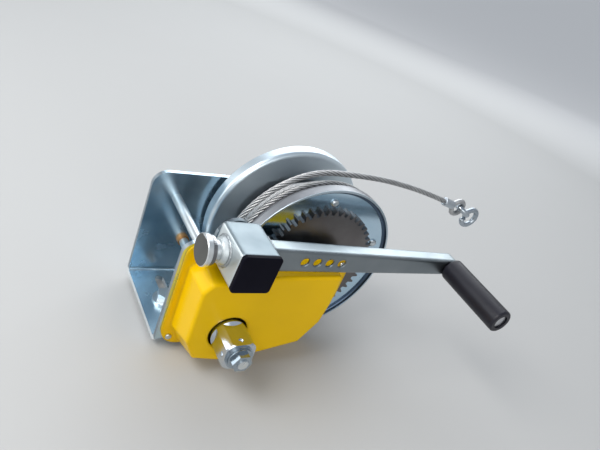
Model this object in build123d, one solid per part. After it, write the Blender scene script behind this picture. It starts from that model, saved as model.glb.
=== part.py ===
"""Geared hand winch of a car transporter trailer, in millimetres.

X runs from the winch's back edge toward the load, Y along the drum away from the crank side,
Z up from the underside of the base plate. The origin is midway between the two rear base slots,
on the underside of the base plate.
"""
import os
from math import acos, atan2, cos, degrees, hypot, pi, radians, sin, tan

from build123d import *

os.makedirs("parts", exist_ok=True)

# Folded frame: two side plates and the base plate, bent from one sheet
sheet = 5.0
inner_width = 111.0
bend_inner_radius = 4.0
base_back_x = -33.0
base_front_x = 82.0
far_plate_top = 142.5
near_plate_top = 135.0
plate_back_radius = 17.0
near_plate_back_radius = 14.0
plate_nose_radius = 34.0
plate_top_front_x = 120.0
slot_x = 0.0
slot_half_spacing = 29.5
slot_radius = 5.5
slot_length = 26.0
front_slot_x = 55.0
centre_bolt_x = -5.0

# Shafts
drum_x = 139.3
drum_z = 96.0
input_x = 22.5
input_z = 51.5
tie_rod_x = -0.6
tie_rod_z = 110.0
stud_x = 15.6
stud_z = 144.0
running_clearance = 0.05
seat_gap = 0.3
moving_gap = 5.0

# Tie rod and its riveted ends
tie_rod_diameter = 11.0
tie_rod_neck_diameter = 8.0
rivet_head_radius = 7.5
rivet_head_height = 3.5

# Drum: two pressed flanges with deep rims on a tube, and a hub tube through both
flange_radius = 102.0
flange_sheet = 2.5
flange_depth = 16.0
flange_corner_radius = 6.0
flange_edge_fillet = 0.8
near_flange_thickness = 11.5
near_flange_inner_fillet = 1.2
far_flange_inset = 21.5
near_flange_inset = 26.5
barrel_radius = 32.0
hub_tube_radius = 16.0
hub_tube_gap = 1.0
barrel_wall = 4.0
axle_radius = 10.0
axle_head_radius = 15.0
axle_head_height = 6.0
axle_head_chamfer = 1.5
hub_bush_length = 16.0

# Gears
drum_gear_teeth = 49
counter_pinion_teeth = 7
drum_gear_module = 3.0
counter_gear_teeth = 23
input_pinion_teeth = 11
drum_gear_width = 6.0
counter_gear_width = 7.0
tooth_share = 0.40
tooth_tip_share = 0.85
tooth_root_share = 1.25
tooth_tip_half_share = 0.26
tooth_root_half_share = 0.78
gear_rivet_count = 5
gear_rivet_radius = 4.8
gear_rivet_height = 3.2
gear_rivet_dome = 2.8
gear_rivet_ring_share = 0.21
pinion_rivet_gap = 0.8
counter_pinion_width = 5.0
gear_rivet_first_angle = 93.0

# Countershaft, placed by its heading from the drum's axis
counter_heading = 207.0
counter_shaft_radius = 6.5
counter_bush_radius = 11.0
counter_bush_flange_radius = 14.0
counter_bush_flange = 1.5
counter_gear_gap = 0.5

# Input shaft with its drive end: a round bar milled to a square with round corners
input_shaft_radius = 5.5
far_bush_radius = 7.2
far_bush_stand_out = 4.0
near_bush_radius = 9.0
drive_round_radius = 19.4
drive_across_flats = 32.6
drive_stand_out = 32.5
drive_turn = 2.0
drive_edge_chamfer = 1.5
drive_run_out = 3.0
collar_proud = 2.5
collar_gear_gap = 1.5
washer_radius = 14.6
washer_thickness = 2.0
end_nut_across_flats = 19.0
end_nut_flange_radius = 13.2
end_nut_flange = 1.8
end_nut_height = 8.0
shaft_tip = 1.5
lock_dimple_radius = 2.6
lock_dimple_depth = 1.5
lock_dimple_inset = 6.5

# Yellow gear cover: a moulded shell screwed to the near side plate
cover_flange = 2.5
cover_wall = 2.3
cover_depth = 42.5
cover_back_x = -29.4
cover_top = 134.0
cover_top_front_x = 85.0
cover_bottom = 0.6
cover_toe_x = 150.0
cover_nose_radius = 38.0
cover_nose_start_z = 60.0
cover_corner_radius = 13.0
cover_lobe_radius = 22.0
cover_stud_notch = 30.0
cover_ring_gap = 1.8
cover_hole_chamfer = 0.8
cover_screw_radius = 3.6
cover_screw_height = 2.2
cover_edge_fillet = 3.0
# Columns: x and z of a corner of the raised body on its front face, then the same corner at the plate
cover_corners = (
    (-21.3, 105.7, -22.4, 106.5),
    (-20.2, 42.0, -21.2, 28.0),
    (-6.9, 18.1, -8.0, 5.0),
    (22.2, 12.0, 22.0, 2.2),
    (70.4, 18.9, 72.0, 5.0),
    (117.0, 30.5, 122.0, 17.0),
    (133.9, 59.9, 140.0, 52.0),
    (137.2, 86.2, 142.0, 84.0),
)
cover_shoulder_x = -13.0
cover_end_x = (136.6, 141.0)
# Columns: x and z of a screw on the flange
cover_screw_places = ((-19.7, 11.3), (-17.5, 122.0), (165.0, 110.0))

# Parking stud for the crank on the near side plate
stud_length = 43.5
stud_ear_foot = 10.0
crank_tilt = 2.35

# Crank: square hub tube, arm, pull knob and grip
hub_size = 42.0
hub_corner_radius = 4.0
hub_inner_corner_radius = 1.5
hub_length = 51.5
hub_cap_thickness = 4.8
hub_cap_overhang = 0.3
hub_cap_fillet = 1.4
hub_cap_plug = 6.0
socket_clearance = 0.25
arm_inset = 18.2
arm_depth = 18.2
arm_root_height = 29.0
arm_tip_height = 21.5
arm_wall = 2.5
arm_lower_flange = 7.5
arm_rise = 3.2
arm_corner_radius = 3.5
arm_length = 279.4
arm_hole_count = 4
arm_hole_radius = 5.2
arm_hole_first = 63.4
arm_hole_pitch = 15.7
knob_inset = 19.2
knob_edge_chamfer = 0.8
knob_radius = 16.0
knob_disc_end = 44.6
knob_disc_thickness = 6.0
knob_step_radius = 14.6
knob_step_thickness = 4.0
knob_neck_radius = 10.5
knob_collar_radius = 15.0
knob_collar_length = 7.0
knob_collar_lip = 1.5
grip_radius = 14.3
grip_length = 92.3
grip_shoulder_fillet = 2.5
grip_bore_mouth_radius = 8.5
grip_bore_mouth_depth = 4.0
grip_pin_radius = 6.0
grip_pin_head_radius = 7.6
grip_pin_head_thickness = 2.0

# Wire rope: the winding on the drum and the stretch to its hook
rope_diameter = 7.0
wound_near_inset = 3.7
wound_far_inset = 8.9
wound_radii = (101.5, 97.6, 91.5, 86.0, 81.0, 76.0, 71.0, 66.0)
wound_gap = 0.4
rope_inset = 12.5
rope_over_turn = 1
rope_over_gap = 2.9
rope_lift_x = 1.0
rope_lift_z = 2.5
rope_wrap_start = 205.0
rope_route = ((190.0, 202.5), (248.0, 195.5), (300.0, 185.0))
rope_end = (326.0, 178.0)
ferrule_radius = 5.6
ferrule_length = 20.0
eye_length = 24.0
eye_half_width = 9.5
eye_neck_half = 2.0
hook_wire_radius = 3.6
hook_eye_inner = 6.0
hook_bow_radius = 12.0
hook_shank_length = 3.0
hook_droop = 12.0
hook_bow_start = 125.0
hook_bow_end = -130.0
hook_latch_thickness = 2.0
hook_latch_width = 6.0

# Centre bolt that holds the base plate down
bolt_washer_radius = 13.5
bolt_washer_thickness = 2.5
bolt_head_across_flats = 17.0
bolt_head_height = 8.5
bolt_radius = 5.0
bolt_hole_clearance = 0.5

# Worked-out places
inner_y = inner_width / 2
outer_y = inner_y + sheet
drum_gear_radius = drum_gear_module * drum_gear_teeth / 2
counter_pinion_radius = drum_gear_module * counter_pinion_teeth / 2
drum_gear_tip_radius = drum_gear_radius + tooth_tip_share * drum_gear_module
drum_to_counter = drum_gear_radius + counter_pinion_radius
counter_x = drum_x + drum_to_counter * cos(radians(counter_heading))
counter_z = drum_z + drum_to_counter * sin(radians(counter_heading))
input_to_counter = hypot(counter_x - input_x, counter_z - input_z)
input_gear_module = 2 * input_to_counter / (counter_gear_teeth + input_pinion_teeth)
far_flange_y = inner_y - far_flange_inset
near_flange_y = near_flange_inset - inner_y
near_flange_back = near_flange_y - near_flange_thickness
drum_gear_near_y = near_flange_back - drum_gear_width
flange_flat_radius = flange_radius - flange_corner_radius
gear_rivet_ring = flange_flat_radius - drum_gear_tip_radius - 2 * gear_rivet_radius
gear_rivet_circle = drum_gear_tip_radius + gear_rivet_radius + gear_rivet_ring_share * gear_rivet_ring
counter_pinion_far = near_flange_back - gear_rivet_height - pinion_rivet_gap
counter_pinion_near = counter_pinion_far - counter_pinion_width
wound_near_y = near_flange_y + wound_near_inset
wound_turn_pitch = (far_flange_y - wound_far_inset - wound_near_y) / (len(wound_radii) - 1)
rope_wrap_radius = wound_radii[rope_over_turn] + rope_diameter / 2 + rope_over_gap
rope_y = near_flange_y + rope_inset
counter_gear_far = -outer_y - counter_bush_flange - counter_gear_gap
counter_gear_near = counter_gear_far - counter_gear_width
cover_front_y = -outer_y - cover_depth
cover_hole_radius = drive_round_radius + cover_ring_gap
collar_start_y = counter_gear_near - collar_gear_gap
collar_front_y = cover_front_y - collar_proud
drive_end_y = cover_front_y - drive_stand_out
lock_dimple_y = drive_end_y + lock_dimple_inset
shaft_end_y = drive_end_y - washer_thickness - end_nut_height - shaft_tip
stud_end_y = -outer_y - stud_length
hub_back_y = -outer_y - moving_gap
hub_front_y = hub_back_y - hub_length
hub_socket_size = drive_across_flats + 2 * socket_clearance
stud_ear_radius = drive_round_radius
arm_far_y = hub_back_y - arm_inset
arm_near_y = arm_far_y - arm_depth
knob_y = hub_back_y - knob_inset
grip_start_y = arm_near_y - seat_gap
grip_end_y = grip_start_y - grip_length


def facing(y, x=0.0, z=0.0):
    """Plane across the drum's axis at y, seen from the crank side: its extrusions run to -Y."""
    return Plane(origin=(x, y, z), x_dir=(1, 0, 0), z_dir=(0, -1, 0))


def slab(sketch, far_y, near_y, x=0.0, z=0.0):
    """Extrude a sketch drawn in X and Z from far_y to near_y."""
    return extrude(facing(far_y, x, z) * sketch, far_y - near_y)


def disc(radius, far_y, near_y, x, z):
    """Round bar along Y."""
    return slab(Circle(radius), far_y, near_y, x, z)


def hexagon(across_flats, turn=0.0):
    """Hexagon with its flats across_flats apart."""
    return RegularPolygon(across_flats / 2, 6, major_radius=False, rotation=turn)


def save(shape, name, label=None):
    """Write one node's STEP file."""
    shape.label = label or name
    export_step(shape, f"parts/{name}.step")


def plate_outline(top, back_radius, front_x, nose_radius, back_x):
    """Side plate: upright back edge, straight top and a round nose about the drum's axis."""
    body = Polygon(
        (back_x, 0), (front_x, 0), (drum_x, drum_z - nose_radius), (drum_x, drum_z + nose_radius),
        (plate_top_front_x, top), (back_x, top), align=None)
    nose = Pos(drum_x, drum_z) * Circle(nose_radius)
    toe = Polygon(
        (front_x, 0), tangent_point(front_x, 0, nose_radius), (drum_x, drum_z), align=None)
    outline = body + nose + toe
    corner = outline.vertices().sort_by_distance((back_x, top, 0))[0]
    return fillet(corner, back_radius)


def tangent_point(x, z, radius):
    """Where the lower tangent from a point meets a circle about the drum's axis."""
    reach = hypot(drum_x - x, drum_z - z)
    heading = atan2(z - drum_z, x - drum_x)
    turn = acos(radius / reach)
    return drum_x + radius * cos(heading + turn), drum_z + radius * sin(heading + turn)


def make_frame():
    """Sheet folded into a channel, with both side plates cut to their outlines."""
    depth = max(far_plate_top, near_plate_top)
    length = drum_x + plate_nose_radius - base_back_x
    outside = Pos(0, depth) * Rectangle(2 * outer_y, 2 * depth)
    inside = Pos(0, sheet + depth) * Rectangle(inner_width, 2 * depth)
    lower = outside.vertices().sort_by(Axis.Y)[:2]
    outside = fillet(lower, bend_inner_radius + sheet)
    inside = fillet(inside.vertices().sort_by(Axis.Y)[:2], bend_inner_radius)
    end_plane = Plane(origin=(base_back_x, 0, 0), x_dir=(0, 1, 0), z_dir=(1, 0, 0))
    channel = extrude(end_plane * (outside - inside), length)
    far_outline = plate_outline(far_plate_top, plate_back_radius, base_front_x, plate_nose_radius, base_back_x)
    near_outline = plate_outline(
        near_plate_top, near_plate_back_radius, base_front_x, plate_nose_radius, base_back_x)
    near_outline += Pos(stud_x, stud_z) * Circle(stud_ear_radius)
    near_outline += Polygon(
        (stud_x - stud_ear_radius, near_plate_top - stud_ear_foot),
        (stud_x + stud_ear_radius, near_plate_top - stud_ear_foot),
        (stud_x + stud_ear_radius, stud_z), (stud_x - stud_ear_radius, stud_z), align=None)
    keep = slab(far_outline, outer_y, 0) + slab(near_outline, 0, -outer_y)
    frame = channel & keep
    slot = SlotOverall(slot_length, 2 * slot_radius, rotation=90)
    for x in (slot_x, front_slot_x):
        for side in (-1, 1):
            frame -= extrude(Pos(x, side * slot_half_spacing) * slot, sheet)
    frame -= Pos(centre_bolt_x, 0) * Cylinder(bolt_radius + bolt_hole_clearance, 4 * sheet)
    for x, z, far_hole, near_hole in (
        (drum_x, drum_z, axle_radius, axle_radius),
        (input_x, input_z, far_bush_radius, near_bush_radius),
        (tie_rod_x, tie_rod_z, tie_rod_neck_diameter / 2, tie_rod_neck_diameter / 2),
        (counter_x, counter_z, 0, counter_bush_radius),
    ):
        if far_hole:
            frame -= disc(far_hole, outer_y + sheet, 0, x, z)
        frame -= disc(near_hole, 0, -outer_y - sheet, x, z)
    return frame


def make_tie_rod():
    """Spacer rod between the side plates, with a neck through each and a riveted head outside."""
    neck = tie_rod_neck_diameter / 2
    rod = disc(tie_rod_diameter / 2, inner_y, -inner_y, tie_rod_x, tie_rod_z)
    rod += disc(neck, outer_y, -outer_y, tie_rod_x, tie_rod_z)
    head = disc(rivet_head_radius, outer_y + rivet_head_height, outer_y, tie_rod_x, tie_rod_z)
    rim = head.edges().filter_by(GeomType.CIRCLE).sort_by(Axis.Y)[-1]
    return rod + fillet(rim, rivet_head_height * 0.7)


def make_drum_axle():
    """Fixed axle with a flat head outside the far plate, flush in the near plate."""
    axle = disc(axle_radius, outer_y, -outer_y, drum_x, drum_z)
    head = disc(axle_head_radius, outer_y + axle_head_height, outer_y, drum_x, drum_z)
    rim = head.edges().filter_by(GeomType.CIRCLE).sort_by(Axis.Y)[-1]
    return axle + chamfer(rim, axle_head_chamfer)


def flange_profile(y_face, outward, thickness, inner_fillet):
    """Section of a flange: a flat disc with a round corner and a deep rim away from the rope."""
    outline = Polygon(
        (hub_tube_radius, y_face), (flange_radius, y_face), (flange_radius, y_face + outward * flange_depth),
        (flange_radius - flange_sheet, y_face + outward * flange_depth),
        (flange_radius - flange_sheet, y_face + outward * thickness),
        (hub_tube_radius, y_face + outward * thickness), align=None)
    for place, radius in (
        ((flange_radius, y_face, 0), flange_corner_radius),
        ((flange_radius - flange_sheet, y_face + outward * thickness, 0), inner_fillet),
        ((flange_radius, y_face + outward * flange_depth, 0), flange_edge_fillet),
    ):
        outline = fillet(outline.vertices().sort_by_distance(place)[0], radius)
    return outline


def spun(face):
    """Turn a section drawn as radius and Y about the drum's axis."""
    solid = revolve(face, Axis.Y)
    return Pos(drum_x, 0, drum_z) * solid


def make_barrel():
    """Tube between the flanges, and the hub tube that runs on the axle from plate to plate."""
    bore = axle_radius + running_clearance
    hub_end = inner_y - hub_tube_gap
    barrel = disc(barrel_radius, far_flange_y, near_flange_y, drum_x, drum_z)
    far_end = far_flange_y - hub_bush_length
    near_end = near_flange_y + hub_bush_length
    barrel -= disc(barrel_radius - barrel_wall, far_end, near_end, drum_x, drum_z)
    barrel += disc(hub_tube_radius, hub_end, -hub_end, drum_x, drum_z)
    return barrel - disc(bore, hub_end, -hub_end, drum_x, drum_z)


def gear_outline(teeth, module, first_angle):
    """Spur gear outline with straight-sided teeth, thinned for backlash."""
    pitch_radius = module * teeth / 2
    tip = pitch_radius + tooth_tip_share * module
    root = pitch_radius - tooth_root_share * module
    pitch_angle = 2 * pi / teeth
    half_tip = tooth_tip_half_share * tooth_share * pitch_angle
    half_root = tooth_root_half_share * tooth_share * pitch_angle
    points = []
    for tooth in range(teeth):
        middle = radians(first_angle) + tooth * pitch_angle
        for radius, offset in ((root, -half_root), (tip, -half_tip), (tip, half_tip), (root, half_root)):
            points.append((radius * cos(middle + offset), radius * sin(middle + offset)))
    return Polygon(*points, align=None)


def mesh_angle(x_a, z_a, x_b, z_b):
    """Heading from one shaft to the next, in degrees."""
    return degrees(atan2(z_b - z_a, x_b - x_a))


def make_drum_gear():
    """Gear on the near flange, a tooth pointing at the countershaft."""
    heading = mesh_angle(drum_x, drum_z, counter_x, counter_z)
    outline = gear_outline(drum_gear_teeth, drum_gear_module, heading)
    gear = slab(outline, near_flange_back, drum_gear_near_y, drum_x, drum_z)
    return gear - disc(hub_tube_radius, near_flange_back, drum_gear_near_y, drum_x, drum_z)


def make_gear_rivets():
    """Domed rivet heads on the outside of the near flange."""
    rivets = []
    for index in range(gear_rivet_count):
        angle = radians(gear_rivet_first_angle + index * 360 / gear_rivet_count)
        x = drum_x + gear_rivet_circle * cos(angle)
        z = drum_z + gear_rivet_circle * sin(angle)
        head = disc(gear_rivet_radius, near_flange_back, near_flange_back - gear_rivet_height, x, z)
        rim = head.edges().filter_by(GeomType.CIRCLE).sort_by(Axis.Y)[0]
        rivets.append(fillet(rim, gear_rivet_dome))
    return Compound(rivets)


def make_rope_winding():
    """Closed outer shape of the rope on the drum, with a round crown for each turn of the top layer."""
    rope_radius = rope_diameter / 2
    crowns = []
    near_y = near_flange_y + wound_gap
    last_y = wound_near_y + wound_turn_pitch * (len(wound_radii) - 1)
    points = [(barrel_radius, near_y), (wound_radii[0] - rope_radius, near_y)]
    for turn, radius in enumerate(wound_radii):
        y = wound_near_y + turn * wound_turn_pitch
        points.append((radius - rope_radius, y))
        crowns.append(Pos(radius - rope_radius, y) * Circle(rope_radius))
    points.append((wound_radii[-1] - rope_radius, last_y + rope_radius * 0.5))
    points.append((barrel_radius, far_flange_y - wound_gap))
    section = Polygon(*points, align=None)
    for crown in crowns:
        section += crown
    return spun(section)


def make_counter_shaft():
    """Short shaft through the near plate with the pinion that drives the drum gear."""
    heading = mesh_angle(counter_x, counter_z, drum_x, drum_z)
    half_tooth = 180 / counter_pinion_teeth
    outline = gear_outline(counter_pinion_teeth, drum_gear_module, heading + half_tooth)
    shaft = disc(counter_shaft_radius, counter_pinion_far, counter_gear_near, counter_x, counter_z)
    return shaft + slab(outline, counter_pinion_far, counter_pinion_near, counter_x, counter_z)


def make_counter_gear():
    """Large gear of the countershaft, under the cover."""
    heading = mesh_angle(counter_x, counter_z, input_x, input_z)
    outline = gear_outline(counter_gear_teeth, input_gear_module, heading)
    gear = slab(outline, counter_gear_far, counter_gear_near, counter_x, counter_z)
    return gear - disc(counter_shaft_radius, counter_gear_far, counter_gear_near, counter_x, counter_z)


def make_counter_bush():
    """Flanged bearing bush of the countershaft in the near plate."""
    bush = disc(counter_bush_radius, -inner_y, -outer_y, counter_x, counter_z)
    bush += disc(
        counter_bush_flange_radius, -outer_y, -outer_y - counter_bush_flange, counter_x, counter_z)
    bore = counter_shaft_radius + running_clearance
    return bush - disc(bore, 0, -2 * outer_y, counter_x, counter_z)


def make_input_shaft():
    """Drive shaft from the far plate's bush out to its tip in the end nut."""
    return disc(input_shaft_radius, outer_y, shaft_end_y, input_x, input_z)


def make_input_pinion():
    """Pinion under the cover that drives the countershaft's gear."""
    heading = mesh_angle(input_x, input_z, counter_x, counter_z)
    half_tooth = 180 / input_pinion_teeth
    outline = gear_outline(input_pinion_teeth, input_gear_module, heading + half_tooth)
    pinion = slab(outline, counter_gear_far, counter_gear_near, input_x, input_z)
    return pinion - disc(input_shaft_radius, counter_gear_far, counter_gear_near, input_x, input_z)


def square_drive(start_y, end_y, x, z, turn):
    """Round bar milled to a square with round corners, its outer edge chamfered."""
    square = Rectangle(drive_across_flats, drive_across_flats, rotation=turn)
    bar = slab(square, start_y, end_y, x, z)
    stock = disc(drive_round_radius, start_y, end_y, x, z)
    edge = stock.edges().filter_by(GeomType.CIRCLE).sort_by(Axis.Y)[0]
    return bar & chamfer(edge, drive_edge_chamfer)


def make_drive_end():
    """Square drive with a round collar at its root and dimples for the crank's lock pin."""
    sleeve = square_drive(collar_front_y, drive_end_y, input_x, input_z, drive_turn)
    sleeve += disc(drive_round_radius, collar_start_y, collar_front_y, input_x, input_z)
    run_out = Cone(drive_round_radius, drive_across_flats / 2, drive_run_out)
    sleeve += Location((input_x, collar_front_y - drive_run_out / 2, input_z), (90, 0, 0)) * run_out
    flat = drive_across_flats / 2
    for index in range(4):
        turn = drive_turn + 90 * index
        x = input_x + flat * cos(radians(turn))
        z = input_z + flat * sin(radians(turn))
        drill = Cylinder(lock_dimple_radius, 2 * lock_dimple_depth)
        sleeve -= Location((x, lock_dimple_y, z), (0, 90 - turn, 0)) * drill
    return sleeve - disc(input_shaft_radius, collar_start_y, drive_end_y, input_x, input_z)


def make_input_nut():
    """Washer and flanged nut on the drive's end."""
    washer_end = drive_end_y - washer_thickness
    flange_end = washer_end - end_nut_flange
    nut_end = washer_end - end_nut_height
    nut = disc(washer_radius, drive_end_y, washer_end, input_x, input_z)
    nut += disc(end_nut_flange_radius, washer_end, flange_end, input_x, input_z)
    nut += slab(hexagon(end_nut_across_flats), flange_end, nut_end, input_x, input_z)
    return nut - disc(input_shaft_radius, drive_end_y, nut_end, input_x, input_z)


def make_bush(radius, far_y, near_y):
    """Plain bearing bush of the input shaft."""
    bush = disc(radius, far_y, near_y, input_x, input_z)
    return bush - disc(input_shaft_radius + running_clearance, far_y, near_y, input_x, input_z)


def crank_point(along, up):
    """Place in X and Z of a point of the parked crank, from its distance along and above the hub's middle."""
    lean = radians(crank_tilt)
    return stud_x + along * cos(lean) + up * sin(lean), stud_z - along * sin(lean) + up * cos(lean)


def cover_top_corners(end_x):
    """Corners of the cover's top, a moving gap below the crank's arm and hub."""
    share = (end_x - stud_x) / arm_length
    half_height = (arm_root_height + (arm_tip_height - arm_root_height) * share) / 2
    under_arm = crank_point(end_x - stud_x, arm_rise - half_height)[1] - moving_gap
    under_hub = crank_point(hub_size / 2, -hub_size / 2)[1] - moving_gap
    beside_hub = crank_point(hub_size / 2, hub_size / 2)[0] + moving_gap
    return (end_x, under_arm), (beside_hub, under_arm), (beside_hub, under_hub), (cover_shoulder_x, under_hub)


def cover_body(inset):
    """Raised body of the cover between its outline at the plate and on its front face."""
    front_top = cover_top_corners(cover_end_x[0])
    back_top = [(x, z) for (front_x, z), x in zip(front_top, (cover_end_x[1], *[p[0] for p in front_top[1:]]))]
    front = Polygon(*[row[:2] for row in cover_corners], *front_top, align=None)
    back = Polygon(*[row[2:] for row in cover_corners], *back_top, align=None)
    if inset:
        front = offset(front, -inset, kind=Kind.INTERSECTION)
        back = offset(back, -inset, kind=Kind.INTERSECTION)
    return loft([facing(-outer_y) * back, facing(cover_front_y + inset) * front], ruled=True)


def make_cover():
    """Moulded gear cover: flat flange and raised hollow body with a hole round the drive shaft."""
    nose_x = drum_x + cover_nose_radius
    flange = Polygon(
        (cover_back_x, cover_top), (cover_back_x, cover_bottom), (cover_toe_x, cover_bottom),
        (nose_x, cover_nose_start_z), (nose_x, drum_z), (drum_x, drum_z), (cover_top_front_x, cover_top),
        align=None)
    left = flange.vertices().sort_by(Axis.X)[:2].sort_by(Axis.Y)
    flange = fillet(left[0], cover_lobe_radius)
    upper_left = flange.vertices().sort_by_distance((cover_back_x, cover_top, 0))[0]
    flange = fillet(upper_left, cover_corner_radius)
    flange += Pos(drum_x, drum_z) * Circle(cover_nose_radius)
    flange -= Pos(stud_x, stud_z) * Circle(cover_stud_notch)
    body = cover_body(0)
    folds = [edge for edge in body.edges() if edge.center().Y < -outer_y - cover_flange]
    body = fillet(folds, cover_edge_fillet)
    cover = slab(flange, -outer_y, -outer_y - cover_flange) + body - cover_body(cover_wall)
    cover -= disc(cover_hole_radius, -outer_y, cover_front_y, input_x, input_z)
    rim = cover.edges().filter_by(GeomType.CIRCLE).sort_by(Axis.Y)
    rim = [edge for edge in rim if abs(edge.radius - cover_hole_radius) < cover_hole_chamfer / 2]
    return chamfer(rim[0], cover_hole_chamfer)


def make_cover_screws():
    """Round screw heads on the cover's flange."""
    back_y = -outer_y - cover_flange
    heads = []
    for x, z in cover_screw_places:
        head = disc(cover_screw_radius, back_y, back_y - cover_screw_height, x, z)
        rim = head.edges().filter_by(GeomType.CIRCLE).sort_by(Axis.Y)[0]
        heads.append(fillet(rim, cover_screw_height * 0.6))
    return Compound(heads)


def tilted(shape):
    """Lean a crank piece drawn level with the parking stud at the origin of X and Z."""
    return Location((stud_x, 0, stud_z), (0, crank_tilt, 0)) * shape


def make_parking_stud():
    """Square stud on the near plate's ear that the crank is pushed on when parked."""
    return tilted(square_drive(-outer_y, stud_end_y, 0, 0, 0))


def make_hub():
    """Square hub tube, open at the back."""
    outer = RectangleRounded(hub_size, hub_size, hub_corner_radius)
    inner = RectangleRounded(hub_socket_size, hub_socket_size, hub_inner_corner_radius)
    return tilted(slab(outer - inner, hub_back_y, hub_front_y))


def make_hub_cap():
    """Plastic end cap pushed into the hub's front."""
    width = hub_size + 2 * hub_cap_overhang
    outline = RectangleRounded(width, width, hub_corner_radius)
    cap = slab(outline, hub_front_y, hub_front_y - hub_cap_thickness)
    edges = cap.faces().sort_by(Axis.Y)[0].edges()
    cap = fillet(edges, hub_cap_fillet)
    plug_size = hub_socket_size - 2 * seat_gap
    plug = RectangleRounded(plug_size, plug_size, hub_inner_corner_radius)
    return tilted(cap + slab(plug, hub_front_y + hub_cap_plug, hub_front_y))


def make_arm():
    """Tapered channel arm, open at the back, its lower flange short, with a row of round holes."""
    start = hub_size / 2
    centre_y = (arm_far_y + arm_near_y) / 2
    share = start / arm_length
    root_height = arm_root_height + (arm_tip_height - arm_root_height) * share

    def section(x, height, wall):
        plane = Plane(origin=(x, centre_y + wall, arm_rise), x_dir=(0, 1, 0), z_dir=(1, 0, 0))
        return plane * RectangleRounded(arm_depth, height - 2 * wall, arm_corner_radius - wall)

    arm = loft([section(start, root_height, 0), section(arm_length, arm_tip_height, 0)])
    end = disc(arm_tip_height / 2, arm_far_y, arm_near_y, arm_length, arm_rise)
    rims = end.edges().filter_by(GeomType.CIRCLE)
    end = fillet(rims, arm_corner_radius - 0.5)
    hollow = loft([
        section(start, root_height, arm_wall), section(arm_length - arm_tip_height, arm_tip_height, arm_wall)])
    arm = arm + end - hollow
    low = arm_rise - root_height
    high = arm_rise - arm_tip_height / 2 + arm_wall
    hollow_end = arm_length - arm_tip_height
    cut_back = Polygon((start, low), (hollow_end, low), (hollow_end, high), (start, high), align=None)
    arm -= slab(cut_back, arm_far_y + 1, arm_near_y + arm_lower_flange)
    for index in range(arm_hole_count):
        x = arm_hole_first + index * arm_hole_pitch
        arm -= disc(arm_hole_radius, arm_far_y + 1, arm_near_y - 1, x, arm_rise)
    arm -= disc(grip_pin_radius, arm_far_y + 1, arm_near_y - 1, arm_length, arm_rise)
    return tilted(arm)


def knob_piece(radius, inner_x, outer_x):
    """Round piece of the pull knob, on an axis along -X from the hub."""
    plane = Plane(origin=(-inner_x, knob_y, 0), x_dir=(0, 1, 0), z_dir=(-1, 0, 0))
    return extrude(plane * Circle(radius), outer_x - inner_x)


def make_knob():
    """Stepped pull knob with its neck."""
    disc_start = knob_disc_end - knob_disc_thickness
    step_start = disc_start - knob_step_thickness
    knob = knob_piece(knob_radius, disc_start, knob_disc_end)
    rims = knob.edges().filter_by(GeomType.CIRCLE)
    knob = chamfer(rims, knob_edge_chamfer)
    knob += knob_piece(knob_step_radius, step_start, disc_start)
    knob += knob_piece(knob_neck_radius, hub_size / 2 + knob_collar_length, step_start)
    return tilted(knob)


def make_knob_collar():
    """Flared collar welded to the hub, round the knob's neck."""
    start = hub_size / 2
    end = start + knob_collar_length
    wide = Plane(origin=(-start, knob_y, 0), x_dir=(0, 1, 0), z_dir=(-1, 0, 0)) * Circle(knob_collar_radius)
    narrow_radius = knob_neck_radius + knob_collar_lip
    narrow = Plane(origin=(-end, knob_y, 0), x_dir=(0, 1, 0), z_dir=(-1, 0, 0)) * Circle(narrow_radius)
    return tilted(loft([wide, narrow]))


def make_grip_pin():
    """Pin through the arm's end that carries the turning grip, with a head in the grip's mouth."""
    head_y = grip_end_y + grip_bore_mouth_depth
    pin = disc(grip_pin_radius, arm_far_y, head_y, arm_length, arm_rise)
    pin += disc(grip_pin_head_radius, head_y, head_y - grip_pin_head_thickness, arm_length, arm_rise)
    return tilted(pin)


def make_grip():
    """Plastic grip with soft shoulders and a wide mouth at its end."""
    grip = disc(grip_radius, grip_start_y, grip_end_y, arm_length, arm_rise)
    rims = grip.edges().filter_by(GeomType.CIRCLE)
    grip = fillet(rims, grip_shoulder_fillet)
    grip -= disc(grip_pin_radius + running_clearance, grip_start_y, grip_end_y, arm_length, arm_rise)
    mouth = grip_end_y + grip_bore_mouth_depth + seat_gap
    grip -= disc(grip_bore_mouth_radius, mouth, grip_end_y, arm_length, arm_rise)
    return tilted(grip)


def rope_path():
    """Rope line: part of a turn round the drum, then the stretch toward the load."""
    centre_x = drum_x + rope_lift_x
    centre_z = drum_z + rope_lift_z
    top = (centre_x, centre_z + rope_wrap_radius)
    wrap = CenterArc((centre_x, centre_z), rope_wrap_radius, rope_wrap_start, 90 - rope_wrap_start)
    points = [top, *rope_route, rope_end]
    radii = []
    for before, here, after in zip(points, points[1:], points[2:]):
        run = min(hypot(here[0] - before[0], here[1] - before[1]), hypot(after[0] - here[0], after[1] - here[1]))
        turn = abs(atan2(here[1] - before[1], here[0] - before[0]) - atan2(after[1] - here[1], after[0] - here[0]))
        radii.append(0.45 * run / tan(turn / 2))
    print("rope radii", [round(radius) for radius in radii])
    stretch = FilletPolyline(*points, radius=radii)
    return Wire(wrap.edges() + stretch.edges())


def make_rope():
    """Round bar along the rope line."""
    plane = Plane(origin=(0, rope_y, 0), x_dir=(1, 0, 0), z_dir=(0, -1, 0))
    path = plane * rope_path()
    rope = sweep(Plane(origin=path @ 0, z_dir=path % 0) * Circle(rope_diameter / 2), path)
    print("rope volume share", rope.volume / (path.length * pi * rope_diameter**2 / 4), "length", path.length)
    return rope


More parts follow.
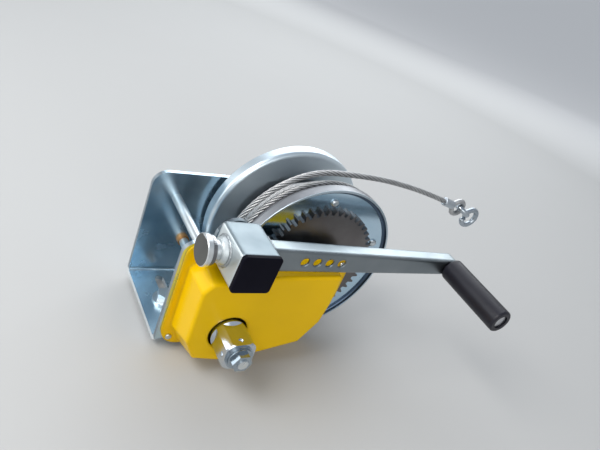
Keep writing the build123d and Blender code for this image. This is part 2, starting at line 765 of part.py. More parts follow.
def rope_end_location():
    """Place and heading of the rope's end, local X along the rope."""
    x_before, z_before = rope_route[-1]
    heading = degrees(atan2(rope_end[1] - z_before, rope_end[0] - x_before))
    return Location((rope_end[0], rope_y, rope_end[1]), (0, -heading, 0))


def make_ferrule():
    """Pressed sleeve on the rope's end."""
    plane = Plane(origin=(0, 0, 0), x_dir=(0, 1, 0), z_dir=(1, 0, 0))
    sleeve = extrude(plane * Circle(ferrule_radius), ferrule_length)
    rims = sleeve.edges().filter_by(GeomType.CIRCLE)
    return rope_end_location() * fillet(rims, 1.5)


def swept_round(path, radius):
    """Round bar along a path drawn in the rope's end frame."""
    return sweep(Plane(origin=path @ 0, z_dir=path % 0) * Circle(radius), path)


def make_rope_eye():
    """Rope eye that leaves the sleeve, round a teardrop."""
    half = eye_half_width
    neck = eye_neck_half
    bow_x = ferrule_length + eye_length - half - rope_diameter / 2
    lean = atan2(half - neck, bow_x - ferrule_length)
    turn = degrees(lean)
    upper_x = bow_x - half * sin(lean)
    upper_z = half * cos(lean)
    path = Plane.XZ * Wire([
        Line((ferrule_length, neck), (upper_x, upper_z)),
        CenterArc((bow_x, 0), half, 90 + turn, -180 - 2 * turn),
        Line((upper_x, -upper_z), (ferrule_length, -neck))])
    return rope_end_location() * swept_round(path, rope_diameter / 2) - make_ferrule()


def hook_location():
    """Frame of the hook, hung from the inside of the rope eye's bow and drooping from the rope."""
    pivot_x = ferrule_length + eye_length - rope_diameter / 2
    return rope_end_location() * Location((pivot_x, 0, 0), (0, hook_droop, 0))


def hook_ring_x():
    """Middle of the hook's eye, measured from the rope bow's middle."""
    return hook_eye_inner - rope_diameter / 2 - seat_gap


def make_hook():
    """Forged eye hook, its eye through the rope eye and its bow open on the lower side."""
    ring_x = hook_ring_x()
    ring = Pos(ring_x, 0, 0) * Torus(hook_eye_inner + hook_wire_radius, hook_wire_radius)
    start_x = ring_x + hook_eye_inner + hook_wire_radius
    bow_x = start_x + hook_shank_length + hook_bow_radius
    swing = radians(hook_bow_start)
    bow_start = (bow_x + hook_bow_radius * cos(swing), hook_bow_radius * sin(swing))
    shank = (start_x, 0)
    first = Plane.XZ * Line(shank, bow_start)
    arm = sweep(Plane(origin=first @ 0, z_dir=first % 0) * Circle(hook_wire_radius), first)
    bow = Plane.XZ * CenterArc((bow_x, 0), hook_bow_radius, hook_bow_start, hook_bow_end - hook_bow_start)
    hook = ring + arm + swept_round(bow, hook_wire_radius)
    for point in (bow @ 0, bow @ 1):
        hook += Pos(point.X, point.Y, point.Z) * Sphere(hook_wire_radius)
    return hook_location() * hook


def make_hook_latch():
    """Spring latch across the hook's mouth."""
    ring_x = hook_ring_x()
    bow_x = ring_x + hook_eye_inner + hook_wire_radius + hook_shank_length + hook_bow_radius
    swing = radians(hook_bow_end)
    tip_x = bow_x + (hook_bow_radius - hook_wire_radius) * cos(swing)
    tip_z = (hook_bow_radius - hook_wire_radius) * sin(swing)
    root_x = ring_x + hook_eye_inner + 2 * hook_wire_radius
    root_z = -hook_wire_radius * 0.5
    length = hypot(tip_x - root_x, tip_z - root_z)
    lean = degrees(atan2(tip_z - root_z, tip_x - root_x))
    strip = Box(length, hook_latch_width, hook_latch_thickness, align=(Align.MIN, Align.CENTER, Align.CENTER))
    return hook_location() * Location((root_x, 0, root_z), (0, -lean, 0)) * strip - make_hook()


def make_mount_bolt():
    """Bolt head and washer on the base plate, its shank cut off at the underside."""
    washer_top = sheet + bolt_washer_thickness
    washer = Pos(0, 0, sheet) * extrude(Circle(bolt_washer_radius), bolt_washer_thickness)
    head = Pos(0, 0, washer_top) * extrude(hexagon(bolt_head_across_flats, 15), bolt_head_height)
    bolt = washer + head + extrude(Circle(bolt_radius), washer_top)
    return Pos(centre_bolt_x, 0, 0) * bolt


def build():
    """Build and write every node."""
    save(make_frame(), "side_frame")
    save(make_tie_rod(), "tie_rod")
    save(make_drum_axle(), "drum_axle")
    save(make_bush(far_bush_radius, outer_y, inner_y - far_bush_stand_out), "far_bronze_bush")
    save(make_bush(near_bush_radius, -inner_y, -outer_y), "near_shaft_bush")
    save(make_counter_bush(), "counter_shaft_bush")
    save(make_cover(), "gear_cover")
    save(make_cover_screws(), "cover_screws")
    save(make_parking_stud(), "parking_stud")
    far_inner_fillet = flange_corner_radius - flange_sheet
    far_profile = flange_profile(far_flange_y, 1, flange_sheet, far_inner_fillet)
    save(spun(far_profile), "far_drum_flange")
    near_profile = flange_profile(near_flange_y, -1, near_flange_thickness, near_flange_inner_fillet)
    save(spun(near_profile), "near_drum_flange")
    save(make_barrel(), "drum_barrel")
    save(make_drum_gear(), "drum_gear")
    save(make_gear_rivets(), "drum_rivets")
    save(make_rope_winding(), "rope_winding")
    save(make_counter_shaft(), "counter_shaft")
    save(make_counter_gear(), "counter_gear")
    save(make_input_shaft(), "input_shaft")
    save(make_input_pinion(), "input_pinion")
    save(make_drive_end(), "input_drive_end")
    save(make_input_nut(), "input_end_nut")
    save(make_hub(), "crank_hub")
    save(make_hub_cap(), "crank_hub_cap")
    save(make_arm(), "crank_arm")
    save(make_knob(), "lock_knob")
    save(make_knob_collar(), "lock_knob_collar")
    save(make_grip_pin(), "grip_pin")
    save(make_grip(), "crank_grip")
    save(make_rope(), "rope_stretch")
    save(make_ferrule(), "rope_ferrule")
    save(make_rope_eye(), "rope_eye")
    save(make_hook(), "load_hook")
    save(make_hook_latch(), "hook_latch")
    save(make_mount_bolt(), "mount_bolt")


build()
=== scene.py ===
"""Looks of the geared hand winch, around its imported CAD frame. Metres, +Z up."""
import math

import bpy
import numpy as np
from mathutils import Matrix, Vector


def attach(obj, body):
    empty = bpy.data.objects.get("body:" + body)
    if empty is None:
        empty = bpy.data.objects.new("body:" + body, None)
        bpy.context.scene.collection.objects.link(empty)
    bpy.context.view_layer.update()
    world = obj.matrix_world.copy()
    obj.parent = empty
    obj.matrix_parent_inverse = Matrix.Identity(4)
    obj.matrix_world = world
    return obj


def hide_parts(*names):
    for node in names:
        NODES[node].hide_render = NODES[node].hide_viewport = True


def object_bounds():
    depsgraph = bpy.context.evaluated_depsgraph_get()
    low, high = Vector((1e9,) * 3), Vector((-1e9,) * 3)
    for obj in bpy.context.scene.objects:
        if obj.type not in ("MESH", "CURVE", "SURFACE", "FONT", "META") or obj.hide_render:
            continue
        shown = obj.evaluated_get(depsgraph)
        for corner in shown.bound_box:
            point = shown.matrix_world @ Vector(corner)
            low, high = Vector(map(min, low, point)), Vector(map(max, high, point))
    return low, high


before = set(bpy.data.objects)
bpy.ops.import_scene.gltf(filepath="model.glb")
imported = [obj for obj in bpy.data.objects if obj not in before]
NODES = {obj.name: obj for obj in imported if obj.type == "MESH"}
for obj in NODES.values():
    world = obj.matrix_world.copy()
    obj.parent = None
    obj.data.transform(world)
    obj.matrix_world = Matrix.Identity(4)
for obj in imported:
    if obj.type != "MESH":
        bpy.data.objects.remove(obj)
cad_low, cad_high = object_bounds()

# Shared places, in metres
DRUM = Vector((0.1393, 0.0, 0.096))
STUD = Vector((0.0156, 0.0, 0.144))
TILT = math.radians(2.35)
ROPE_R = 0.0035
ROPE_LAY = 0.046
ROPE_Y = -0.0165

# Near drum flange: its face, its rim's inside and the zones that get painted shade or a painted highlight
NEAR_FACE = -0.0405
RIM_INSIDE = 0.0995
RIM_FROM = 0.0972
RIM_INSIDE_FROM = 0.0975
RIM_INSIDE_TO = 0.0997
RIM_EDGE_FROM = 0.0990
RIM_EDGE_Y = -0.0443
FACE_SIDE_Y = -0.0392

# Frame and lock knob: the zones that get painted shade or a painted highlight, the knob's from the stud
BASE_TO_Z = 0.006
EAR_FROM_Z = 0.150
NEAR_PLATE_Y = -0.050
KNOB_STEP = (-0.0378, -0.0354)
KNOB_FACE = -0.0440


# Materials
def new_material(name):
    mat = bpy.data.materials.new(name)
    mat.use_nodes = True
    tree = mat.node_tree
    return mat, tree, tree.nodes["Principled BSDF"]


def noise(tree, scale, detail=3.0):
    """Noise texture in object space."""
    coords = tree.nodes.new("ShaderNodeTexCoord")
    tex = tree.nodes.new("ShaderNodeTexNoise")
    tex.inputs["Scale"].default_value = scale
    tex.inputs["Detail"].default_value = detail
    tree.links.new(coords.outputs["Object"], tex.inputs["Vector"])
    return tex.outputs["Fac"]


def spread(tree, value, low, high, start=0.3, stop=0.7):
    """Map a noise value onto a range."""
    node = tree.nodes.new("ShaderNodeMapRange")
    node.inputs["From Min"].default_value = start
    node.inputs["From Max"].default_value = stop
    node.inputs["To Min"].default_value = low
    node.inputs["To Max"].default_value = high
    tree.links.new(value, node.inputs["Value"])
    return node.outputs["Result"]


def two_tone(tree, value, first, second, start=0.35, stop=0.65):
    """Blend two colours by a noise value."""
    ramp = tree.nodes.new("ShaderNodeValToRGB")
    ramp.color_ramp.elements[0].position = start
    ramp.color_ramp.elements[0].color = (*first, 1)
    ramp.color_ramp.elements[1].position = stop
    ramp.color_ramp.elements[1].color = (*second, 1)
    tree.links.new(value, ramp.inputs["Fac"])
    return ramp.outputs["Color"]


def bump(tree, bsdf, value, strength, distance):
    node = tree.nodes.new("ShaderNodeBump")
    node.inputs["Strength"].default_value = strength
    node.inputs["Distance"].default_value = distance
    tree.links.new(value, node.inputs["Height"])
    tree.links.new(node.outputs["Normal"], bsdf.inputs["Normal"])


def metal(name, first, second, rough_low, rough_high, patch=18.0, grain=400.0, grain_strength=0.06):
    """Plated or turned metal: cloudy tint, uneven polish and fine grain."""
    mat, tree, bsdf = new_material(name)
    bsdf.inputs["Metallic"].default_value = 1.0
    tree.links.new(two_tone(tree, noise(tree, patch, 4.0), first, second), bsdf.inputs["Base Color"])
    polish = spread(tree, noise(tree, patch * 2.3, 5.0), rough_low, rough_high)
    tree.links.new(polish, bsdf.inputs["Roughness"])
    bump(tree, bsdf, noise(tree, grain, 3.0), grain_strength, 0.0003)
    return mat


def plastic(name, first, second, rough_low, rough_high, patch=14.0, grain=700.0, grain_strength=0.05):
    """Moulded plastic: faint colour drift and a fine moulded grain."""
    mat, tree, bsdf = new_material(name)
    tree.links.new(two_tone(tree, noise(tree, patch, 3.0), first, second), bsdf.inputs["Base Color"])
    polish = spread(tree, noise(tree, patch * 3, 4.0), rough_low, rough_high)
    tree.links.new(polish, bsdf.inputs["Roughness"])
    bump(tree, bsdf, noise(tree, grain, 2.0), grain_strength, 0.0002)
    return mat


zinc_sheet = metal("zinc sheet", (0.42, 0.59, 0.71), (0.66, 0.80, 0.89), 0.18, 0.30)
# Painted highlight: the base sheet's edge turned to -x, lighter than the rest of the zinc
base_edge_highlight = metal("zinc base painted edge highlight", (0.80, 0.85, 0.88), (0.88, 0.91, 0.93), 0.45, 0.55)
# Painted shade: the plates' faces turned to -x above the base, darker than the rest of the zinc
plate_edge_shade = metal("zinc plate painted edge shade", (0.26, 0.31, 0.35), (0.34, 0.39, 0.43), 0.36, 0.46)
zinc_flange = metal("zinc flange", (0.62, 0.72, 0.79), (0.70, 0.79, 0.85), 0.32, 0.42)
zinc_mirror = metal("zinc gear flange", (0.50, 0.68, 0.82), (0.58, 0.74, 0.87), 0.12, 0.18)
# Painted shade: the near flange's rim band, a darker grey than the same pressed zinc of its face
rim_band_shade = metal("zinc rim", (0.24, 0.25, 0.27), (0.33, 0.34, 0.36), 0.42, 0.54)
# Painted shade: the dark inside of the near flange's rim and the fillet below it
rim_shade = metal("zinc rim painted shade", (0.06, 0.09, 0.14), (0.09, 0.13, 0.19), 0.22, 0.30)
# Painted highlight: the near flange rim's free edge, lighter than the rest of the rim
rim_edge_highlight = metal("zinc rim painted edge highlight", (0.50, 0.60, 0.67), (0.60, 0.69, 0.75), 0.30, 0.40)
# Painted shade and highlight: the crank arm gets a darker copy of its zinc, its top faces a lighter one
crank_shaded_sides = metal("zinc crank", (0.20, 0.23, 0.25), (0.25, 0.28, 0.30), 0.28, 0.36)
crank_lit_top = metal("zinc crank painted lit top", (0.36, 0.42, 0.45), (0.47, 0.53, 0.56), 0.32, 0.42)
# Painted shade and highlight: the hub gets a darker zinc, its left side and the knob's collar a lighter one
hub_shaded = metal("zinc hub", (0.22, 0.27, 0.30), (0.29, 0.34, 0.37), 0.38, 0.48)
hub_lit_side = metal("zinc hub painted lit side", (0.60, 0.65, 0.67), (0.76, 0.80, 0.81), 0.42, 0.54)
# Painted shade: the top of the near plate's ear, darkened to read as shade
ear_painted_shade = metal("zinc ear painted shade", (0.08, 0.10, 0.12), (0.15, 0.18, 0.20), 0.36, 0.48)
zinc_parts = metal("zinc parts", (0.58, 0.63, 0.66), (0.70, 0.74, 0.76), 0.26, 0.38)
zinc_nut = metal("zinc nut", (0.28, 0.34, 0.40), (0.40, 0.46, 0.51), 0.18, 0.28)
zinc_drive = metal("zinc drive end", (0.50, 0.56, 0.64), (0.60, 0.65, 0.70), 0.16, 0.24)
drum_gear_steel = metal("drum gear steel", (0.16, 0.15, 0.15), (0.22, 0.21, 0.21), 0.34, 0.46)
zinc_gear = metal("zinc gear", (0.42, 0.47, 0.50), (0.54, 0.57, 0.58), 0.22, 0.36)
turned = metal("turned steel", (0.52, 0.53, 0.55), (0.62, 0.63, 0.65), 0.26, 0.36)
knob_steel = metal("bright knob steel", (0.72, 0.75, 0.77), (0.82, 0.84, 0.85), 0.30, 0.40)
# Painted shade: the knob's step, which stands for its grooves, and its end face are darker than its steel
knob_step_shade = metal("turned knob painted step shade", (0.20, 0.20, 0.21), (0.28, 0.28, 0.29), 0.28, 0.38)
knob_face_shade = metal("turned knob painted face shade", (0.12, 0.12, 0.115), (0.17, 0.17, 0.16), 0.30, 0.42)
bronze = metal("bronze", (0.62, 0.28, 0.09), (0.75, 0.38, 0.15), 0.30, 0.42)
rope_steel = metal("rope steel", (0.44, 0.445, 0.45), (0.56, 0.565, 0.57), 0.38, 0.50, 90.0, 1800.0, 0.10)
# Painted shade: the rope's grooves and the dark core of the winding
rope_groove_shade = metal("rope groove painted shade", (0.05, 0.05, 0.055), (0.09, 0.09, 0.095), 0.50, 0.60, 90.0, 1800.0, 0.10)
hook_steel = metal("hook steel", (0.38, 0.43, 0.48), (0.50, 0.55, 0.60), 0.22, 0.36)
weld_steel = metal("weld bead", (0.36, 0.39, 0.41), (0.50, 0.53, 0.55), 0.28, 0.42, 120.0, 500.0, 0.25)
yellow = plastic("yellow cover", (0.75, 0.46, 0.001), (0.80, 0.49, 0.001), 0.20, 0.27)
black_cap = plastic("black cap", (0.003, 0.003, 0.007), (0.005, 0.005, 0.011), 0.50, 0.60)
black_grip = plastic("black grip", (0.009, 0.009, 0.015), (0.015, 0.015, 0.023), 0.34, 0.44)
for look, shine in ((yellow, 0.14), (black_cap, 0.06), (black_grip, 0.35)):
    look.node_tree.nodes["Principled BSDF"].inputs["Specular IOR Level"].default_value = shine


def soften(look, radius):
    """Round a look's edges in its shading, as a pressed, moulded or drawn edge is."""
    tree = look.node_tree
    edge = tree.nodes.new("ShaderNodeBevel")
    edge.samples = 8
    edge.inputs["Radius"].default_value = radius
    tree.links.new(edge.outputs["Normal"], tree.nodes["Bump"].inputs["Normal"])


soften(yellow, 0.005)
for look in (hub_shaded, hub_lit_side):
    soften(look, 0.004)
for look in (crank_shaded_sides, crank_lit_top):
    soften(look, 0.003)

LOOKS = {
    "side_frame": zinc_sheet,
    "tie_rod": zinc_parts,
    "drum_axle": zinc_parts,
    "far_bronze_bush": bronze,
    "near_shaft_bush": bronze,
    "counter_shaft_bush": bronze,
    "gear_cover": yellow,
    "cover_screws": zinc_parts,
    "parking_stud": zinc_parts,
    "mount_bolt": zinc_parts,
    "rope_stretch": rope_steel,
    "rope_ferrule": hook_steel,
    "rope_eye": rope_steel,
    "load_hook": hook_steel,
    "hook_latch": hook_steel,
    "far_drum_flange": zinc_flange,
    "near_drum_flange": zinc_mirror,
    "drum_barrel": zinc_flange,
    "drum_gear": drum_gear_steel,
    "drum_rivets": zinc_parts,
    "rope_winding": rope_steel,
    "input_shaft": zinc_parts,
    "input_pinion": zinc_gear,
    "input_drive_end": zinc_drive,
    "input_end_nut": zinc_nut,
    "counter_shaft": zinc_gear,
    "counter_gear": zinc_gear,
    "crank_hub": hub_shaded,
    "crank_hub_cap": black_cap,
    "crank_arm": crank_shaded_sides,
    "lock_knob": knob_steel,
    # The knob's collar takes the hub's painted highlight
    "lock_knob_collar": hub_lit_side,
    "grip_pin": turned,
    "crank_grip": black_grip,
}
for node, look in LOOKS.items():
    mesh = NODES[node].data
    mesh.materials.clear()
    mesh.materials.append(look)


def face_look(node, look, test):
    """Give some faces of a node a look of their own, picked by their middle and normal."""
    mesh = NODES[node].data
    mesh.materials.append(look)
    for face in mesh.polygons:
        if test(face.center, face.normal):
            face.material_index = len(mesh.materials) - 1


def from_axle(point):
    return math.hypot(point[0] - DRUM.x, point[2] - DRUM.z)


def inside_rim(place, normal):
    in_band = RIM_INSIDE_FROM < from_axle(place) < RIM_INSIDE_TO
    return in_band and RIM_EDGE_Y < place[1] < FACE_SIDE_Y


def on_knob_step(place, normal):
    return abs(normal[0]) < 0.3 and KNOB_STEP[0] < place[0] - STUD.x < KNOB_STEP[1]


# Painted shade on the near flange's rim band
face_look("near_drum_flange", rim_band_shade, lambda c, n: from_axle(c) > RIM_FROM and c[1] > RIM_EDGE_Y)
# Painted shade on the inside of the near flange's rim
face_look("near_drum_flange", rim_shade, inside_rim)
# Painted highlight on the near flange rim's free edge
face_look("near_drum_flange", rim_edge_highlight, lambda c, n: from_axle(c) > RIM_EDGE_FROM and c[1] <= RIM_EDGE_Y)
# Painted highlight on the base sheet's edge turned to -x
face_look("side_frame", base_edge_highlight, lambda c, n: n[0] < -0.9 and c[2] < BASE_TO_Z)
# Painted shade on the plates' faces turned to -x
face_look("side_frame", plate_edge_shade, lambda c, n: n[0] < -0.5 and c[2] > BASE_TO_Z)
# Painted shade on the top of the near plate's ear
face_look("side_frame", ear_painted_shade, lambda c, n: c[2] > EAR_FROM_Z and c[1] < NEAR_PLATE_Y)
# Painted highlight on the crank arm's top faces
face_look("crank_arm", crank_lit_top, lambda c, n: n[2] > 0.80)
# Painted highlight on the crank hub's left side
face_look("crank_hub", hub_lit_side, lambda c, n: n[0] < -0.80)
# Painted shade on the knob's step and end face
face_look("lock_knob", knob_step_shade, on_knob_step)
face_look("lock_knob", knob_face_shade, lambda c, n: n[0] < -0.97 and c[0] - STUD.x < KNOB_FACE)


# Mesh helpers
def piece(name, verts, faces, look, body, smooth=True):
    mesh = bpy.data.meshes.new(name)
    mesh.from_pydata([tuple(v) for v in verts], [], faces)
    mesh.update()
    mesh.materials.append(look)
    obj = bpy.data.objects.new(name, mesh)
    bpy.context.scene.collection.objects.link(obj)
    if smooth:
        mesh.shade_smooth()
    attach(obj, body)
    return obj


def resample(points, step):
    """Evenly spaced points along a polyline."""
    points = np.asarray(points, float)
    runs = np.linalg.norm(np.diff(points, axis=0), axis=1)
    along = np.concatenate([[0], np.cumsum(runs)])
    count = max(int(round(along[-1] / step)), 2)
    at = np.linspace(0, along[-1], count + 1)
    return np.stack([np.interp(at, along, points[:, k]) for k in range(3)], axis=1), at


# Rope: strands, the shares of a strand's half angle that get a point, and the grooves' depth
STRANDS = 6
STRAND_POINTS = (-1.0, -0.78, -0.45, 0.0, 0.45, 0.78)
GROOVE_SHARE = 0.64


def strand_section(radius):
    """Outline of a rope's section: round strands, each from its groove over its crown."""
    strand = radius / 3
    centre = radius - strand
    half = math.pi / STRANDS
    outline = []
    for lobe in range(STRANDS):
        for share in STRAND_POINTS:
            angle = half * share
            rise = math.sqrt(max(strand ** 2 - (centre * math.sin(angle)) ** 2, 0))
            reach = centre * math.cos(angle) + rise
            outline.append((lobe * 2 * half + angle, max(reach, radius * GROOVE_SHARE)))
    return outline


def rope_mesh(points, radius, lay, up, step=0.0025):
    """Twisted rope along points; up gives each ring's reference direction."""
    line, along = resample(points, step)
    section = strand_section(radius)
    tangents = np.gradient(line, axis=0)
    tangents /= np.linalg.norm(tangents, axis=1)[:, None]
    verts = []
    faces = []
    count = len(section)
    for ring, (centre, tangent, distance) in enumerate(zip(line, tangents, along)):
        side = np.cross(tangent, up(centre))
        side /= np.linalg.norm(side)
        over = np.cross(side, tangent)
        twist = 2 * math.pi * distance / lay
        for angle, reach in section:
            turn = angle + twist
            verts.append(centre + reach * (math.cos(turn) * over + math.sin(turn) * side))
        if ring:
            base = ring * count
            for k in range(count):
                j = (k + 1) % count
                faces.append((base - count + k, base - count + j, base + j, base + k))
    faces.append(tuple(range(count))[::-1])
    last = (len(line) - 1) * count
    faces.append(tuple(range(last, last + count)))
    return verts, faces


def paint_groove_shade(obj):
    """Paint shade on the faces beside the strands' grooves; the two ends keep their look."""
    obj.data.materials.append(rope_groove_shade)
    points = len(STRAND_POINTS)
    for face in obj.data.polygons[:-2]:
        if face.index % points in (0, points - 1):
            face.material_index = 1


def on_drum(radius, angle, y):
    """A place at a radius and angle about the drum's axis."""
    return (DRUM.x + radius * math.cos(angle), y, DRUM.z + radius * math.sin(angle))


def ring_solid(name, profile, steps, look, body):
    """Closed solid turned about the drum's axis from (radius, y) points."""
    verts = []
    faces = []
    count = len(profile)
    for k in range(steps):
        angle = 2 * math.pi * k / steps
        for radius, y in profile:
            verts.append(on_drum(radius, angle, y))
    for k in range(steps):
        here = k * count
        there = ((k + 1) % steps) * count
        for j in range(count):
            i = (j + 1) % count
            faces.append((here + j, here + i, there + i, there + j))
    return piece(name, verts, faces, look, body, smooth=False)


# Wound rope: one helix over the winding's crown, whose radius is given at each turn
WOUND_PITCH = 0.0072
WOUND_START = -0.0253
WOUND_PHASE = math.radians(-60)
TURN_STEPS = 72
CROWN = (0.1015, 0.0976, 0.0915, 0.0860, 0.0810, 0.0760, 0.0710, 0.0660)


def wound_points():
    points = []
    last = len(CROWN) - 1
    for k in range(last * TURN_STEPS + 1):
        turn = k / TURN_STEPS
        low = min(int(turn), last - 1)
        radius = CROWN[low] + (CROWN[low + 1] - CROWN[low]) * (turn - low) - ROPE_R
        angle = -2 * math.pi * turn + WOUND_PHASE
        points.append(on_drum(radius, angle, WOUND_START + WOUND_PITCH * turn))
    return points


def from_drum(centre):
    out = np.array((centre[0] - DRUM.x, 0.0, centre[2] - DRUM.z))
    return out / np.linalg.norm(out)


verts, faces = rope_mesh(wound_points(), ROPE_R, ROPE_LAY, from_drum)
wound = piece("wound_turns", verts, faces, rope_steel, "drum")
paint_groove_shade(wound)
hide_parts("rope_winding")

# Dark core under the wound turns, from the hub tube to just below the crown: painted shade filling the
# winding
CORE_BORE = 0.0321
CORE_NEAR = (0.0960, -0.0284)
CORE_FAR = (0.0600, 0.0268)
CORE_FAR_Y = 0.0334
CORE_BELOW_CROWN = 0.0045
core_profile = [(CORE_BORE, CORE_NEAR[1]), CORE_NEAR]
for turn, radius in enumerate(CROWN):
    core_profile.append((radius - CORE_BELOW_CROWN, WOUND_START + WOUND_PITCH * turn))
core_profile += [CORE_FAR, (CORE_BORE, CORE_FAR_Y)]
ring_solid("shaded_wound_core", core_profile, 96, rope_groove_shade, "drum")

# Fillet between the near flange's face and its rim, sunk a little into both, coloured with the rim's
# painted shade
FILLET = 0.0040
FILLET_STEPS = 8
fillet_profile = [(RIM_INSIDE + 0.0001, NEAR_FACE + 0.0002)]
for k in range(FILLET_STEPS + 1):
    swing = math.pi / 2 * k / FILLET_STEPS
    fillet_profile.append((
        RIM_INSIDE - FILLET + FILLET * math.cos(swing), NEAR_FACE - FILLET + FILLET * math.sin(swing)))
flange_fillet = ring_solid("flange_fillet", fillet_profile, 192, rim_shade, "drum")
flange_fillet.data.shade_smooth()

# Rope from the drum to the hook: an arc over the winding, then a sagging run through points in x and z
WRAP_R = 0.104
WRAP_C = (DRUM.x + 0.001, DRUM.z + 0.0025)
WRAP_FROM = 205
WRAP_TO = 90
WRAP_STEPS = 60
ROUTE = ((WRAP_C[0], WRAP_C[1] + WRAP_R), (0.190, 0.2025), (0.248, 0.1955), (0.300, 0.185), (0.326, 0.178))
RUN_STEPS = 24
FREE_ROPE_STEP = 0.002


def free_points():
    points = []
    for k in range(WRAP_STEPS + 1):
        angle = math.radians(WRAP_FROM + (WRAP_TO - WRAP_FROM) * k / WRAP_STEPS)
        x = WRAP_C[0] + WRAP_R * math.cos(angle)
        points.append((x, ROPE_Y, WRAP_C[1] + WRAP_R * math.sin(angle)))
    controls = [np.array(place) for place in ROUTE]
    start = controls[0]
    for k in range(1, len(controls) - 1):
        last = k == len(controls) - 2
        stop = controls[k + 1] if last else (controls[k] + controls[k + 1]) / 2
        for j in range(1, RUN_STEPS + 1):
            t = j / RUN_STEPS
            x, z = (1 - t) ** 2 * start + 2 * t * (1 - t) * controls[k] + t ** 2 * stop
            points.append((x, ROPE_Y, z))
        start = stop
    return points


def across_rope(centre):
    return np.array((0.0, 1.0, 0.0))


verts, faces = rope_mesh(free_points(), ROPE_R, ROPE_LAY, across_rope, FREE_ROPE_STEP)
free = piece("free_rope", verts, faces, rope_steel, "winch")
paint_groove_shade(free)
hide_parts("rope_stretch")


# Weld beads on the crank
def crank_point(u, y, w):
    """A place in the crank's own level frame, leaned with the crank."""
    x = STUD.x + u * math.cos(TILT) + w * math.sin(TILT)
    return Vector((x, y, STUD.z - u * math.sin(TILT) + w * math.cos(TILT)))


# Beads: their steps and sides, a direction that none runs along, and their ripples as a share of
# the radius, radians per metre and a phase
BEAD_STEP = 0.0009
BEAD_SIDES = 8
OFF_PATH = (0.577, 0.577, 0.577)
RIPPLES = ((0.16, 2900, 0.0), (0.10, 1130, 1.0))


def bead(name, path, radius):
    """Weld bead on the crank: a lumpy bar round a closed path."""
    path = [np.array(place) for place in path]
    line, along = resample(path + path[:1], BEAD_STEP)
    line = line[:-1]
    count = len(line)
    verts = []
    faces = []
    for k, centre in enumerate(line):
        tangent = line[(k + 1) % count] - line[k - 1]
        tangent /= np.linalg.norm(tangent)
        side = np.cross(tangent, OFF_PATH)
        side /= np.linalg.norm(side)
        over = np.cross(side, tangent)
        ripple = sum(share * math.sin(along[k] * rate + phase) for share, rate, phase in RIPPLES)
        swell = radius * (1 + ripple)
        for j in range(BEAD_SIDES):
            angle = 2 * math.pi * j / BEAD_SIDES
            verts.append(centre + swell * (math.cos(angle) * side + math.sin(angle) * over))
    for k in range(count):
        here = k * BEAD_SIDES
        there = ((k + 1) % count) * BEAD_SIDES
        for j in range(BEAD_SIDES):
            i = (j + 1) % BEAD_SIDES
            faces.append((here + j, here + i, there + i, there + j))
    piece(name, verts, faces, weld_steel, "crank")


# Bead round the arm's root, on the hub's side
HUB_SIDE = 0.0212
ARM_Y = -0.0928
ARM_HALF_DEPTH = 0.0091
ARM_W = 0.0032
ARM_HALF_HEIGHT = 0.0142
weld_path = []
for back, rise in ((1, -1), (1, 1), (-1, 1), (-1, -1)):
    weld_path.append(crank_point(HUB_SIDE, ARM_Y + back * ARM_HALF_DEPTH, ARM_W + rise * ARM_HALF_HEIGHT))
bead("arm_weld", weld_path, 0.0016)

# Bead round the knob's collar, on the hub's other side
COLLAR_Y = -0.0847
COLLAR_R = 0.0152
COLLAR_STEPS = 48
collar_path = []
for k in range(COLLAR_STEPS):
    angle = 2 * math.pi * k / COLLAR_STEPS
    y = COLLAR_Y + COLLAR_R * math.cos(angle)
    collar_path.append(crank_point(-HUB_SIDE, y, COLLAR_R * math.sin(angle)))
bead("collar_weld", collar_path, 0.0014)


# Floor
def stage_plane(name, size, z, look):
    mesh = bpy.data.meshes.new(name)
    half = size / 2
    corners = [(-half, -half, z), (half, -half, z), (half, half, z), (-half, half, z)]
    mesh.from_pydata(corners, [], [(0, 1, 2, 3)])
    mesh.materials.append(look)
    obj = bpy.data.objects.new(name, mesh)
    bpy.context.scene.collection.objects.link(obj)


# Farther from the winch the lamps reach the floor less, so its colour turns paler there
FLOOR_NEAR = (0.48, 0.48, 0.475)
FLOOR_FAR = (0.95, 0.95, 0.945)
PALER_FROM = 1.6
PALER_TO = 2.4
floor_look, tree, bsdf = new_material("floor")
coords = tree.nodes.new("ShaderNodeTexCoord")
away = tree.nodes.new("ShaderNodeVectorMath")
away.operation = "LENGTH"
tree.links.new(coords.outputs["Object"], away.inputs[0])
paler = spread(tree, away.outputs["Value"], 0.0, 1.0, PALER_FROM, PALER_TO)
tree.links.new(two_tone(tree, paler, FLOOR_NEAR, FLOOR_FAR, 0.0, 1.0), bsdf.inputs["Base Color"])
tree.links.new(spread(tree, noise(tree, 6.0), 0.86, 0.94), bsdf.inputs["Roughness"])
stage_plane("floor", 80.0, cad_low[2] - 0.001, floor_look)

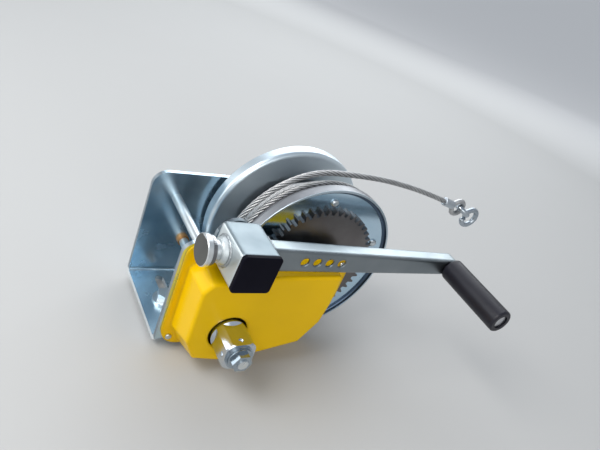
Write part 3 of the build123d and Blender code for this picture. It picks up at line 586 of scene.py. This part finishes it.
# Sky: colours by height, which also show in the plated faces
SKY = (
    (0.0, (0.62, 0.63, 0.64)),
    (0.30, (1.00, 1.02, 1.05)),
    (0.62, (0.98, 1.03, 1.10)),
    (1.0, (0.52, 0.60, 0.72)),
)
world = bpy.data.worlds.new("studio")
bpy.context.scene.world = world
world.use_nodes = True
tree = world.node_tree
background = tree.nodes["Background"]
coords = tree.nodes.new("ShaderNodeTexCoord")
split = tree.nodes.new("ShaderNodeSeparateXYZ")
ramp = tree.nodes.new("ShaderNodeValToRGB")
stops = ramp.color_ramp.elements
for index, (height, colour) in enumerate(SKY):
    stop = stops[index] if index < 2 else stops.new(height)
    stop.position = height
    stop.color = (*colour, 1)
tree.links.new(coords.outputs["Generated"], split.inputs["Vector"])
tree.links.new(split.outputs["Z"], ramp.inputs["Fac"])
tree.links.new(ramp.outputs["Color"], background.inputs["Color"])
background.inputs["Strength"].default_value = 0.52


# Lamps: place, what each points at, width and height, watts and colour
def area(name, place, target, size, power, color):
    light = bpy.data.lights.new(name, "AREA")
    light.shape = "RECTANGLE"
    light.size = size[0]
    light.size_y = size[1]
    light.energy = power
    light.color = color
    obj = bpy.data.objects.new(name, light)
    bpy.context.scene.collection.objects.link(obj)
    obj.location = place
    obj.rotation_euler = (Vector(target) - Vector(place)).to_track_quat("-Z", "Y").to_euler()


area("key", (-1.0, -0.1, 1.3), (0.1, 0, 0.1), (0.9, 0.7), 15, (1.0, 0.98, 0.95))
area("left", (-1.2, 0.5, 0.45), (0.0, 0, 0.07), (1.2, 0.8), 7, (0.92, 0.97, 1.0))
area("top", (0.5, 0.9, 1.5), (0.1, 0, 0.1), (1.6, 1.0), 10, (0.96, 0.98, 1.0))
area("back", (1.15, 1.45, 0.95), (0.1, 0, 0.1), (1.8, 0.7), 13.5, (0.94, 0.98, 1.0))
area("front", (-0.5, -1.6, 0.8), (0.1, 0, 0.1), (1.4, 1.0), 9, (1.0, 0.99, 0.96))

# Camera, as fitted to the photograph
CAMERA_AT = Vector((-0.26306, -0.49449, 0.46733))
camera_data = bpy.data.cameras.new("camera")
camera = bpy.data.objects.new("camera", camera_data)
bpy.context.scene.collection.objects.link(camera)
camera_data.sensor_width = 36.0
camera_data.lens = 36.52
camera_data.clip_start = 0.01
right = Vector((0.83435, -0.42438, 0.35180))
up = Vector((-0.03586, 0.59506, 0.80288))
back = Vector((-0.55007, -0.68250, 0.48127))
camera.matrix_world = Matrix((
    (right.x, up.x, back.x, CAMERA_AT.x),
    (right.y, up.y, back.y, CAMERA_AT.y),
    (right.z, up.z, back.z, CAMERA_AT.z),
    (0, 0, 0, 1)))
bpy.context.scene.camera = camera
bpy.context.scene.view_settings.view_transform = "Standard"
